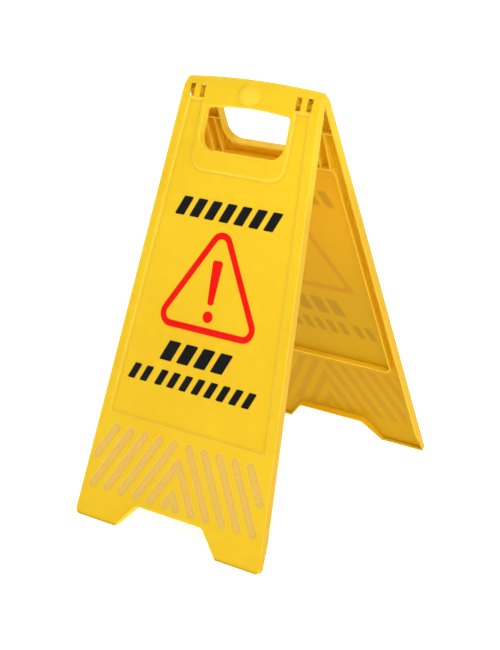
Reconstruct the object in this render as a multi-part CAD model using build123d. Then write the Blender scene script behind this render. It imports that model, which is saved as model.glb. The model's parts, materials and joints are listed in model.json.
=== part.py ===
"""A-frame floor warning sign: two identical snap-together panels with die-cut warning films.

World frame: origin on the floor under the middle of the sign, +X across the panels, +Z up.
The front panel faces -Y.  The rear panel is the same moulding turned half a turn about Z.

Panel frame: origin at the middle of the top corner line on the outer face, X across, Y up the
slope, Z outward.  A depth is a distance behind the outer face, so it is a negative Z.
A drop is a distance down the slope from the corner line, so it is a negative Y.
"""
from build123d import *
import math
import os

# Whole sign
slope_length = 615.0        # corner line to foot line, along the outer face
top_crown = 5.0             # rise of the top edge at its middle
top_width = 213.0
foot_width = 307.5
lean = 20.5                 # degrees of each panel from the vertical when the sign stands open
panel_depth = 13.0          # outer face to the rim of the flange
fold_gap = 0.6              # between the two rims when the sign is folded flat
heel_gap = 0.3              # between the two heels when they stop the opening

# Walls
skin = 2.2
flange_wall = 2.4
rib_wall = 1.8
rib_below_rim = 0.6
edge_round = 1.6            # outer edge of the face
rim_round = 0.8             # outer edge of the flange's rim

# Brow, where the face bends back over the hinge
brow_radius = 28.0
brow_drop = 18.5            # where it starts at the sides
brow_rise = 7.0             # how much higher it starts at the middle
brow_reach = 1.6            # height of the panel's top edge over the corner line

# Outline corners and foot notch
top_corner_radius = 5.0
foot_corner_radius = 7.5
notch_height = 35.0
notch_top_width = 109.0
notch_foot_width = 167.0
notch_radius = 9.0
notch_foot_radius = 4.0

# Feet, where the flange runs out towards the floor
foot_taper_length = 43.0    # foot line to where the rim starts to slope
foot_depth = 6.5            # outer face to the rim at the foot line

# Hand hole
hand_hole_width = 135.0
hand_hole_side_top = 37.6   # drop of its top edge at the sides
hand_hole_foot = 94.2       # drop of its lower edge
hand_hole_foot_radius = 21.0
hand_hole_top_radius = 4.0
hand_hole_round = 1.4       # edge of the hole at the outer face
collar_wall = 2.2

# Sunken field and the land round the hand hole
field_depth = 2.0
field_step_run = 3.2        # how far the soft step reaches sideways
field_border = 13.0         # side edge to the field
field_top = 28.0            # drop of its upper ends
field_foot_margin = 148.5   # foot line to its lower edge
field_radius = 8.0          # lower corners, at the outer face
field_floor_radius = 1.3    # upper corners, at the sunken floor
land_border = 4.5           # hand hole to the sides of the land
land_foot_border = 25.1     # hand hole to the lower edge of the land
land_radius = 20.0

# Thumb dome on the handle
dome_width = 40.0
dome_length = 30.6
dome_height = 4.3
dome_drop = 14.4
dome_sink = 0.7             # how far its middle sits behind the flat face
dome_tilt = 5.0             # degrees, to follow the brow
dome_sphere_ratio = 2.0     # full half-height of the ellipsoid against the part that stands proud

# Hinge
axis_drop = 15.0
pin_radius = 3.0
pin_clearance = 0.1
hook_radius = 5.5
hook_mouth = 100.0          # degrees
hook_side_gap = 0.5         # hook plate to the windows on either side
lug_radius = 4.6
lug_wall = 2.2
lug_gap = 0.3               # lug to the window beside it

# Mould windows over the hinge
window_width = 8.0
window_length = 17.4
window_drop = 18.1
window_gap = 4.1            # hand hole to the window beside it
window_strip = 8.8          # between a corner's two windows
window_radius = 0.8

# Ribs behind the field
frame_inset = 1.6           # side of the field to the outside of the rib frame
frame_foot_inset = 4.5      # lower edge of the field to the outside of the rib frame
frame_top_inset = 5.3       # lower edge of the land to the outside of the rib frame
frame_radius = 10.0
cross_rib_drop = 58.5
column_ribs = (-5.0, 10.0)  # upright ribs, from the middle of a corner's windows
gusset_gap = 2.2            # windows to the gussets below them
gusset_low = 5.0            # depth of the gusset's low end

# Grip grooves above the feet
groove_width = 10.8
groove_depth = 0.8
groove_step_run = 1.6       # how far a groove's soft edge reaches sideways
groove_pitch = 24.6
groove_first = 11.9         # distance from the middle to the first groove that misses it
groove_slant = 29.5         # degrees from the slope direction
groove_length = 82.3        # along the slope, between the centres of its round ends
groove_foot_margin = 48.6   # foot line to the centres of the lower ends
groove_border = 13.0        # side edge to a groove's end
groove_count = 5
chevron_count = 2

# Warning films
film = 0.2
bar_slant = 24.0            # degrees from the slope direction
bar_gap = 9.0
bar_radius = 1.2
band_margins = {            # side of the field's floor to the bars: left, right
    "upper": (18.3, 17.3),
    "middle": (52.8, 65.8),
    "lower": (10.0, 22.0),
}
band_heights = {"upper": 25.5, "middle": 27.5, "lower": 21.5}
band_counts = {"upper": 7, "middle": 4, "lower": 10}
lower_band_break = (2, 4.5) # bars before the wider gap, and what it adds
upper_band_gap = 39.2       # land to the upper band
triangle_gap = 148.8        # upper band to the triangle's lower edge
middle_band_gap = 18.2      # triangle to the middle band
lower_band_gap = 13.0
triangle_side = 177.5
triangle_radius = 17.8
triangle_stroke = 8.8
mark_height = 59.0
mark_top_width = 16.0
mark_foot_width = 9.0
mark_dot_radius = 7.6
mark_dot_gap = 8.4          # between the bar and the dot
mark_rise = 18.2            # triangle's lower edge to the dot

# Worked out from the above
sin_lean = math.sin(math.radians(lean))
cos_lean = math.cos(math.radians(lean))
tan_lean = math.tan(math.radians(lean))
corner_height = slope_length * cos_lean
axis_depth = panel_depth + fold_gap / 2
corner_offset = axis_depth * cos_lean - axis_drop * sin_lean
axis_height = corner_height - axis_drop * cos_lean - axis_depth * sin_lean
rib_depth = panel_depth - rib_below_rim
window_step = (window_strip + window_width) / 2
window_offset = hand_hole_width / 2 + window_gap + window_width + window_strip / 2
gusset_top = window_drop + window_length / 2 + gusset_gap
land_width = hand_hole_width + 2 * land_border
land_foot = hand_hole_foot + land_foot_border
field_foot = slope_length - field_foot_margin
frame_border = field_border + frame_inset
frame_top = land_foot - frame_top_inset
frame_foot = field_foot - frame_foot_inset
groove_foot = slope_length - groove_foot_margin
groove_top = groove_foot - groove_length
side_slope = (foot_width - top_width) / 2 / slope_length
brow_half = top_width / 2 + side_slope * brow_drop
brow_crown_radius = (brow_half ** 2 + brow_rise ** 2) / 2 / brow_rise
overshoot = 30.0            # how far a cutter runs past what it cuts

panel_plane = Plane(
    origin=(0, -corner_offset, corner_height),
    x_dir=(1, 0, 0),
    z_dir=(0, -cos_lean, sin_lean),
)


def half_width(drop):
    """Half of the panel's width at a drop down the slope."""
    return top_width / 2 + side_slope * drop


def at(x, drop, depth=0.0):
    """A point of the panel frame."""
    return (x, -drop, -depth)


def slab(face, near, far):
    """A flat face of the panel frame, drawn at zero depth, as a solid between two depths."""
    return Pos(0, 0, -far) * extrude(face, amount=far - near, dir=(0, 0, 1))


def rounded(points, radii):
    """A closed outline through points, each corner with its own radius."""
    face = make_face(Polyline(*points, close=True))
    for point, radius in zip(points, radii):
        if radius > 0:
            corner = face.vertices().sort_by_distance(point)[0]
            face = fillet(corner, radius)
    return face


def floor_cutter(height):
    """Everything below a height above the floor, in the panel frame."""
    size = 4 * overshoot + foot_width
    block = Pos(0, -corner_offset, height - size / 2) * Box(size, 3 * size, size)
    return panel_plane.location.inverse() * block


def foot_cutter():
    """Everything behind the sloping rims of the feet, in the panel frame."""
    start = slope_length - foot_taper_length
    slope = (panel_depth - foot_depth) / foot_taper_length
    fall = foot_taper_length + overshoot
    points = [
        (0, -start, -panel_depth),
        (0, -start - fall, slope * fall - panel_depth),
        (0, -start - fall, -2 * overshoot),
        (0, -start, -2 * overshoot),
    ]
    face = make_face(Polyline(*points, close=True))
    return Pos(-foot_width, 0, 0) * extrude(face, amount=2 * foot_width, dir=(1, 0, 0))


def heel_cutter():
    """Everything behind the plane where the two heels meet, in the panel frame."""
    size = 2 * slope_length
    block = Pos(0, size / 2 - heel_gap / 2, corner_height) * Box(size, size, size)
    return panel_plane.location.inverse() * block


# Panel shell

def crowned_edge(width, side_drop, rise):
    """The arc of an edge that rises at its middle, from left to right."""
    left = at(-width / 2, side_drop)
    middle = at(0, side_drop - rise)
    right = at(width / 2, side_drop)
    return ThreePointArc(left, middle, right)


def outline(inset=0.0):
    """The panel seen square on, brought in by an inset on every side."""
    half_foot = half_width(slope_length)
    half_top = half_width(-brow_reach)
    top = crowned_edge(2 * half_top, -brow_reach, top_crown)
    sides = Polyline(
        at(half_top, -brow_reach),
        at(half_foot, slope_length),
        at(-half_foot, slope_length),
        at(-half_top, -brow_reach),
    )
    face = make_face([top, sides])
    corners = face.vertices().sort_by(Axis.Y)
    face = fillet(corners[:2], foot_corner_radius)
    corners = face.vertices().sort_by(Axis.Y)
    face = fillet(corners[-2:], top_corner_radius)
    if inset:
        return offset(face, amount=-inset, kind=Kind.INTERSECTION) - foot_notch(inset)
    face = face - foot_notch()
    half_foot = notch_foot_width / 2
    for x in (-half_foot, half_foot):
        corner = face.vertices().sort_by_distance(at(x, slope_length))[0]
        face = fillet(corner, notch_foot_radius)
    return face


def foot_notch(inset=0.0):
    """The arch between the two feet, grown by an inset."""
    rise = notch_height + inset
    lean_out = (notch_foot_width - notch_top_width) / 2 / notch_height
    grow = inset * (math.hypot(1, lean_out) - lean_out)
    half_top = notch_top_width / 2 + grow
    half_low = half_top + lean_out * (rise + overshoot)
    points = [
        at(-half_top, slope_length - rise),
        at(half_top, slope_length - rise),
        at(half_low, slope_length + overshoot),
        at(-half_low, slope_length + overshoot),
    ]
    radius = notch_radius + inset
    return rounded(points, (radius, radius, 0, 0))


def hand_hole(grow=0.0):
    """The hand hole, grown by a distance on every side."""
    width = hand_hole_width
    top = crowned_edge(width, hand_hole_side_top, top_crown)
    sides = Polyline(
        at(width / 2, hand_hole_side_top),
        at(width / 2, hand_hole_foot),
        at(-width / 2, hand_hole_foot),
        at(-width / 2, hand_hole_side_top),
    )
    face = make_face([top, sides])
    face = fillet(face.vertices().sort_by(Axis.Y)[:2], hand_hole_foot_radius)
    face = fillet(face.vertices().sort_by(Axis.Y)[-2:], hand_hole_top_radius)
    return offset(face, amount=grow) if grow else face


def field(grow=0.0):
    """The sunken field: a tapered panel less the land round the hand hole, grown by a distance."""
    near = half_width(field_top) - field_border
    far = half_width(field_foot) - field_border
    upper_radius = field_floor_radius + field_step_run
    border = rounded(
        [at(-near, field_top), at(near, field_top), at(far, field_foot), at(-far, field_foot)],
        (upper_radius, upper_radius, field_radius, field_radius),
    )
    half_land = land_width / 2
    land = rounded(
        [at(-half_land, -overshoot), at(half_land, -overshoot),
         at(half_land, land_foot), at(-half_land, land_foot)],
        (0, 0, land_radius, land_radius),
    )
    face = border - land
    return offset(face, amount=grow, kind=Kind.INTERSECTION) if grow else face


def field_cutter():
    """The space above the sunken floor, with its soft sloping step."""
    taper = math.degrees(math.atan2(field_step_run, field_depth))
    return extrude(field(), amount=field_depth, dir=(0, 0, -1), taper=taper)


def brow_cutter(inset=0.0):
    """Everything outside the brow's curve, brought in by an inset."""
    radius = brow_radius - inset
    start = brow_crown_radius
    end = start + radius
    top = (0, end, inset - brow_radius)
    turned = (0, start + radius * math.sin(math.pi / 4),
              radius * math.cos(math.pi / 4) - brow_radius)
    curve = ThreePointArc((0, start, -inset), turned, top)
    far = end + overshoot
    rest = Polyline(top, (0, far, top[2]), (0, far, overshoot), (0, start, overshoot),
                    (0, start, -inset))
    half_turn = math.degrees(math.atan2(top_width, brow_crown_radius))
    profile = Rot(0, 0, half_turn) * make_face([curve, rest])
    body = revolve(profile, axis=Axis.Z, revolution_arc=-2 * half_turn)
    return Pos(*at(0, brow_drop - brow_rise + brow_crown_radius)) * body


def cavity():
    """The space inside the flange, behind the skin."""
    space = slab(outline(flange_wall), skin, panel_depth + overshoot)
    space -= brow_cutter(skin)
    space -= floor_cutter(flange_wall)
    space -= slab(field(), 0, skin + field_depth)
    space -= slab(hand_hole(collar_wall), 0, rib_depth)
    return space


def shell():
    """The skin with its flange, its collar and the back of its sunken field."""
    body = slab(outline(), 0, panel_depth) - brow_cutter()
    body = fillet(outer_edges(body), edge_round)
    body = fillet(body.faces().sort_by(Axis.Z)[0].edges(), rim_round)
    body -= cavity()
    body -= slab(hand_hole(), -overshoot, panel_depth + overshoot)
    return fillet(hand_hole_edges(body), hand_hole_round)


def outer_edges(body):
    """The edges round the outer face and its brow, without the line where the brow starts."""
    edges = body.edges().filter_by_position(Axis.Z, -panel_depth / 2 - 1, 1)
    edges = edges.filter_by(lambda edge: edge.bounding_box().min.Z > 0.5 - panel_depth)
    start = brow_rise - brow_drop
    return edges.filter_by(lambda edge: abs(edge.position_at(0.5).Y - start) > 0.1)


def hand_hole_edges(body):
    """The edges of the hand hole at the outer face."""
    reach = hand_hole_width / 2 + 1
    edges = body.edges().filter_by_position(Axis.Z, -0.01, 0.01)
    edges = edges.filter_by_position(Axis.X, -reach, reach)
    return edges.filter_by_position(Axis.Y, -hand_hole_foot - 1, top_crown - hand_hole_side_top + 1)


# Ribs

def upright(x, top, foot, depth):
    """A straight rib down the slope."""
    face = Pos(x, -(top + foot) / 2) * Rectangle(rib_wall, foot - top)
    return slab(face, skin / 2, depth)


def rib_frame():
    """The closed rib that runs round the back of the field."""
    near = half_width(frame_top) - frame_border
    far = half_width(frame_foot) - frame_border
    face = rounded(
        [at(-near, frame_top), at(near, frame_top), at(far, frame_foot), at(-far, frame_foot)],
        (frame_radius,) * 4,
    )
    ring = face - offset(face, amount=-rib_wall)
    return slab(ring, skin + field_depth / 2, rib_depth)


def gusset(x):
    """A rib that tapers from the hinge down to the cross rib."""
    points = [
        (0, -gusset_top, -skin / 2),
        (0, -gusset_top, -rib_depth),
        (0, -cross_rib_drop, -gusset_low),
        (0, -cross_rib_drop, -skin / 2),
    ]
    face = make_face(Polyline(*points, close=True))
    return Pos(x - rib_wall / 2, 0, 0) * extrude(face, amount=rib_wall, dir=(1, 0, 0))


def side_ribs(side):
    """Cross rib, upright ribs and gussets beside the hand hole."""
    inner = hand_hole_width / 2 + collar_wall / 2
    outer = half_width(cross_rib_drop) - flange_wall / 2
    bar = Pos((inner + outer) / 2, -cross_rib_drop) * Rectangle(outer - inner, rib_wall)
    ribs = slab(bar, skin / 2, rib_depth)
    for offset_x in column_ribs:
        x = window_offset + offset_x
        ribs += upright(x, cross_rib_drop, frame_top + rib_wall / 2, rib_depth)
        ribs += gusset(x)
    return ribs if side > 0 else mirror(ribs, about=Plane.YZ)


# Hinge: seen from outside, the pin is in the right corner and the hook in the left one

def disc(radius, x, width):
    """A disc on the hinge axis, from x to x + width."""
    plane = Plane(origin=at(x, axis_drop, axis_depth), x_dir=(0, 1, 0), z_dir=(1, 0, 0))
    return extrude(plane * Circle(radius), amount=width)


def web(radius, x, width):
    """The plate that joins a disc to the skin."""
    face = Pos(x + width / 2, -axis_drop) * Rectangle(width, 2 * radius)
    return slab(face, skin / 2, axis_depth)


def hinge_pin():
    """The moulded pin with a lug at each end, beside the windows."""
    reach = window_step + window_width / 2 + lug_gap
    inner = window_offset - reach - lug_wall
    outer = window_offset + reach
    solid = disc(pin_radius, inner, outer + lug_wall - inner)
    for x in (inner, outer):
        solid += disc(lug_radius, x, lug_wall)
        solid += web(lug_radius, x, lug_wall)
    return solid


def hinge_hook():
    """The snap hook that closes round the other panel's pin."""
    width = window_strip - 2 * hook_side_gap
    x = -window_offset - width / 2
    solid = disc(hook_radius, x, width) + web(hook_radius, x, width)
    solid -= disc(pin_radius + pin_clearance, x - 1, width + 2)
    half_mouth = math.radians(hook_mouth / 2)
    reach = 2 * hook_radius
    drop_reach = reach * math.sin(half_mouth)
    depth_reach = reach * math.cos(half_mouth)
    points = [
        (0, -axis_drop, -axis_depth),
        (0, -axis_drop + drop_reach, -axis_depth - depth_reach),
        (0, -axis_drop - drop_reach, -axis_depth - depth_reach),
    ]
    wedge = extrude(make_face(Polyline(*points, close=True)), amount=width + 2, dir=(1, 0, 0))
    return solid - Pos(x - 1, 0, 0) * wedge


def windows():
    """The four mould windows, two over each corner of the hinge."""
    cutters = []
    for side in (-1, 1):
        for step in (-window_step, window_step):
            face = Pos(side * window_offset + step, -window_drop) * RectangleRounded(
                window_width, window_length, window_radius)
            cutters.append(slab(face, -overshoot, skin + field_depth))
    return cutters


# Outside details

def dome_place():
    """The middle of the dome, tilted back to follow the brow."""
    return Pos(*at(0, dome_drop, dome_sink)) * Rot(-dome_tilt, 0, 0)


def ellipsoid(shrink=0.0):
    """The ellipsoid under the thumb dome, shrunk by a wall."""
    half_height = dome_height * dome_sphere_ratio
    sink = half_height - dome_height
    spread = 1 / math.sqrt(1 - (sink / half_height) ** 2)
    body = scale(Sphere(1), by=(
        dome_width / 2 * spread - shrink,
        dome_length / 2 * spread - shrink,
        half_height - shrink,
    ))
    return dome_place() * Pos(0, 0, -sink) * body


def dome():
    """The thumb dome above the skin's middle."""
    block = Pos(0, 0, dome_height - skin / 4) * Box(
        2 * dome_width, 2 * dome_width, 2 * dome_height + skin / 2)
    return ellipsoid() & dome_place() * block


def groove_ends(index):
    """Both ends of a groove's middle line on the right half, or None when it has no length."""
    slope = math.tan(math.radians(groove_slant))
    x = groove_first + groove_pitch * index
    drop = groove_top
    if x < 0:
        drop -= x / slope
        x = 0.0
    run = groove_foot - drop
    border_run = (half_width(drop) - groove_border - x) / (slope - side_slope)
    run = min(run, border_run)
    return (x, drop), (x + slope * run, drop + run)


def groove_cutters():
    """The space in every grip groove, with its soft edges; a chevron is two that cross."""
    taper = math.degrees(math.atan2(groove_step_run, groove_depth))
    cutters = []
    for index in range(-chevron_count, groove_count):
        (x0, drop0), (x1, drop1) = groove_ends(index)
        length = math.dist((x0, drop0), (x1, drop1))
        tilt = math.degrees(math.atan2(drop0 - drop1, x1 - x0))
        face = SlotCenterToCenter(length, groove_width + 2 * groove_step_run)
        face = Pos((x0 + x1) / 2, -(drop0 + drop1) / 2) * Rot(0, 0, tilt) * face
        groove = extrude(face, amount=groove_depth, dir=(0, 0, -1), taper=taper)
        cutters += [groove, mirror(groove, about=Plane.YZ)]
    return cutters


def panel():
    """One whole moulding, in the panel frame."""
    body = shell()
    body += [rib_frame(), side_ribs(1), side_ribs(-1)]
    body += [hinge_pin(), hinge_hook()]
    body -= field_cutter()
    body -= windows()
    body += dome()
    body -= ellipsoid(skin)
    body -= groove_cutters()
    body -= heel_trim()
    body -= foot_cutter()
    body -= floor_cutter(0)
    return body


def heel_trim():
    """What the heels lose so that they meet on the middle plane, hinge aside."""
    return heel_cutter() - hinge_pin() - hinge_hook()


# Warning films, drawn on the floor of the field

def on_field(faces):
    """Flat faces as films that lie on the floor of the field."""
    return [slab(face, field_depth - film, field_depth) for face in faces]


def hazard_bars(name, top):
    """A band of equal slanted bars that lies between its margins on the field's floor."""
    left_margin, right_margin = band_margins[name]
    foot = top + band_heights[name]
    count = band_counts[name]
    bars_before, extra = lower_band_break if name == "lower" else (count, 0.0)
    reach = half_width(top) - field_border - field_step_run
    shift = band_heights[name] * math.tan(math.radians(bar_slant))
    room = 2 * reach - left_margin - right_margin - shift
    width = (room - extra - (count - 1) * bar_gap) / count
    bars = []
    for index in range(count):
        x = left_margin - reach + index * (width + bar_gap)
        if index >= bars_before:
            x += extra
        points = [
            at(x, foot), at(x + width, foot),
            at(x + width + shift, top), at(x + shift, top),
        ]
        bars.append(rounded(points, (bar_radius,) * 4))
    return bars


def warning_triangle(triangle_foot):
    """The rounded ring of the warning triangle above its lower edge."""
    rise = triangle_side * math.sqrt(3) / 2
    half = triangle_side / 2
    points = [
        at(-half, triangle_foot), at(half, triangle_foot), at(0, triangle_foot - rise),
    ]
    outer = rounded(points, (triangle_radius,) * 3)
    return outer - offset(outer, amount=-triangle_stroke)


def exclamation_mark(triangle_foot):
    """The tapered bar and the dot inside the triangle."""
    dot_drop = triangle_foot - triangle_stroke - mark_rise + mark_dot_radius / 2
    foot = dot_drop - mark_dot_radius - mark_dot_gap
    top = foot - mark_height
    points = [
        at(-mark_foot_width / 2, foot), at(mark_foot_width / 2, foot),
        at(mark_top_width / 2, top), at(-mark_top_width / 2, top),
    ]
    bar = rounded(points, (mark_foot_width / 2.5,) * 2 + (mark_top_width / 2.5,) * 2)
    dot = Pos(*at(0, dot_drop)) * Circle(mark_dot_radius)
    return [bar, dot]


def film_groups():
    """Every film of one panel: name and solids in the panel frame."""
    upper_top = land_foot + upper_band_gap
    triangle_foot = upper_top + band_heights["upper"] + triangle_gap
    middle_top = triangle_foot + middle_band_gap
    lower_top = middle_top + band_heights["middle"] + lower_band_gap
    return {
        "upper_hazard_band": on_field(hazard_bars("upper", upper_top)),
        "warning_triangle": on_field([warning_triangle(triangle_foot)]),
        "exclamation_mark": on_field(exclamation_mark(triangle_foot)),
        "middle_hazard_band": on_field(hazard_bars("middle", middle_top)),
        "lower_hazard_band": on_field(hazard_bars("lower", lower_top)),
    }


def write(name, solids):
    """One node as a STEP file, as a group when it has several solids."""
    shape = solids[0] if len(solids) == 1 else Compound(children=solids)
    shape.label = name
    export_step(shape, os.path.join("parts", name + ".step"))


def plain_solids(shape):
    """The bare solids of a shape."""
    return [Solid(solid.wrapped) for solid in shape.solids()]


def main():
    """Place every piece on both panels and write it."""
    os.makedirs("parts", exist_ok=True)
    pieces = {"panel": plain_solids(panel())}
    for name, solids in film_groups().items():
        pieces[name] = [solid for shape in solids for solid in plain_solids(shape)]
    turn = Rot(0, 0, 180)
    for name, solids in pieces.items():
        front = [panel_plane.location * solid for solid in solids]
        write("front_" + name, front)
        write("rear_" + name, [turn * solid for solid in front])
    print("hinge axis height", round(axis_height, 3), "fold range", 2 * lean)


if __name__ == "__main__":
    main()
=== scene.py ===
"""Looks of a folding A-frame floor warning sign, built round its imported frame.

Everything is in metres in the frame's own axes: +X across the panels, the front panel faces -Y,
+Z up, the origin on the floor under the middle of the open sign.

Each panel also has its own panel axes, with the hinge line as their zero:
across runs along X as seen from outside, climb runs up the slope, proud runs out of the face.
"""
import json
import logging
import math
from dataclasses import dataclass
from enum import Enum
from typing import Iterable, Optional, Sequence

import bmesh
import bpy
from mathutils import Matrix, Vector


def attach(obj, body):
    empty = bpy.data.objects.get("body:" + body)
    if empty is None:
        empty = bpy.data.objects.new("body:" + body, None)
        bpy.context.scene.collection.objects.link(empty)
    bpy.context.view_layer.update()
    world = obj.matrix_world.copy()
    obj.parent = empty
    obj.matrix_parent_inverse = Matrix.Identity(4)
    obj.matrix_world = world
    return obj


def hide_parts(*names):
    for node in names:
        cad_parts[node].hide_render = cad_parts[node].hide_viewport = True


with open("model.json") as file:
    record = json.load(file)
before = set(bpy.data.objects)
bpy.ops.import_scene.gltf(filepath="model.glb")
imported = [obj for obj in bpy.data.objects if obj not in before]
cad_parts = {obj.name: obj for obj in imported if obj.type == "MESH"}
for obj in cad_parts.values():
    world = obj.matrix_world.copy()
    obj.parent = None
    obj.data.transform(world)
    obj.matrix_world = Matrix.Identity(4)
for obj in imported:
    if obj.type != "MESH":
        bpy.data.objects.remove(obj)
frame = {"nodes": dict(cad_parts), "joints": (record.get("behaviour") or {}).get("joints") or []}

LOG = logging.getLogger("floor_sign")
MM = 0.001
Colour = tuple[float, float, float]
Point = tuple[float, float]
Noise = tuple[float, float, float]      # scale, detail and roughness

# Sizes that the panels are moulded to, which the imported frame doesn't name
AXIS_DEPTH = 13.3 * MM          # outer face to the hinge line
SKIN = 2.2 * MM
FIELD_DEPTH = 2.0 * MM
GROOVE_DEPTH = 0.8 * MM

# Heights on a panel that its finish follows, in millimetres up from the hinge line
GATE_CLIMB = -290.0
GROOVE_REACH = (-565.0, -455.0)
BROW_BEND = (-8.0, -16.0)       # fades, from where a mask is 0 to where it is 1
RIBS_END = (-95.0, -150.0)
CHANNEL_END = (-452.0, -436.0)
INNER_FADE = (-390.0, -110.0)

# Depths under the outer face, in millimetres, and turns from its direction, as fades too
RIM_DEPTH = (12.0, 9.0)
DOME_RISE = (-0.8, -3.4)
INNER_TURN = (-0.5, -0.9)
FLANK_TURN = (0.70, 0.92)
OUTER_TURN = (0.4, 0.8)
FLOOR_TURN = (0.3, 0.6)
EDGE_TURN = (0.995, 0.80)
CREASE_SHADE = (0.99, 0.82)


class Side(Enum):
    """The two panels, each with the turn that takes the front one to it."""

    FRONT = ("front", 1.0)
    REAR = ("rear", -1.0)

    @property
    def body(self) -> str:
        """The name of the panel's body."""
        return self.value[0]

    @property
    def turn(self) -> float:
        """1 for the front panel and -1 for the one turned half a turn about Z."""
        return self.value[1]


class Ink(Enum):
    """The record's material slots of the two films."""

    BLACK = "black_film"
    RED = "red_film"


# Panel axes

@dataclass(frozen=True)
class PanelAxes:
    """The axes of one panel, which start at the hinge line."""

    side: Side
    lean: float
    hinge_height: float

    @classmethod
    def from_frame(cls, side: Side) -> "PanelAxes":
        """Reads the lean and the hinge height from the fold joint.

        Args:
            side: The panel.

        Returns:
            The panel's axes.
        """
        joint = frame["joints"][0]
        lean = math.radians(joint["range_deg"][1] / 2)
        return cls(side, lean, joint["pos_m"][2])

    @property
    def across(self) -> Vector:
        """To the right, seen from outside."""
        return Vector((self.side.turn, 0.0, 0.0))

    @property
    def climb(self) -> Vector:
        """Up the slope."""
        return Vector((0.0, self.side.turn * math.sin(self.lean), math.cos(self.lean)))

    @property
    def proud(self) -> Vector:
        """Out of the face."""
        return Vector((0.0, -self.side.turn * math.cos(self.lean), math.sin(self.lean)))

    @property
    def origin(self) -> Vector:
        """The middle of the hinge line."""
        return Vector((0.0, 0.0, self.hinge_height))

    @property
    def matrix(self) -> Matrix:
        """Takes (across, climb, proud) to the frame's axes."""
        columns = Matrix((self.across, self.climb, self.proud)).transposed()
        return Matrix.Translation(self.origin) @ columns.to_4x4()

    def extent(self, node: str) -> tuple[Vector, Vector]:
        """Measures a CAD node along the panel's axes.

        Args:
            node: The node's name without its side.

        Returns:
            The lowest and highest (across, climb, proud).
        """
        vertices = frame["nodes"][f"{self.side.body}_{node}"].data.vertices
        inverse = self.matrix.inverted()
        places = [inverse @ vertex.co for vertex in vertices]
        low = Vector(min(place[axis] for place in places) for axis in range(3))
        high = Vector(max(place[axis] for place in places) for axis in range(3))
        return low, high


# Node building

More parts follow.
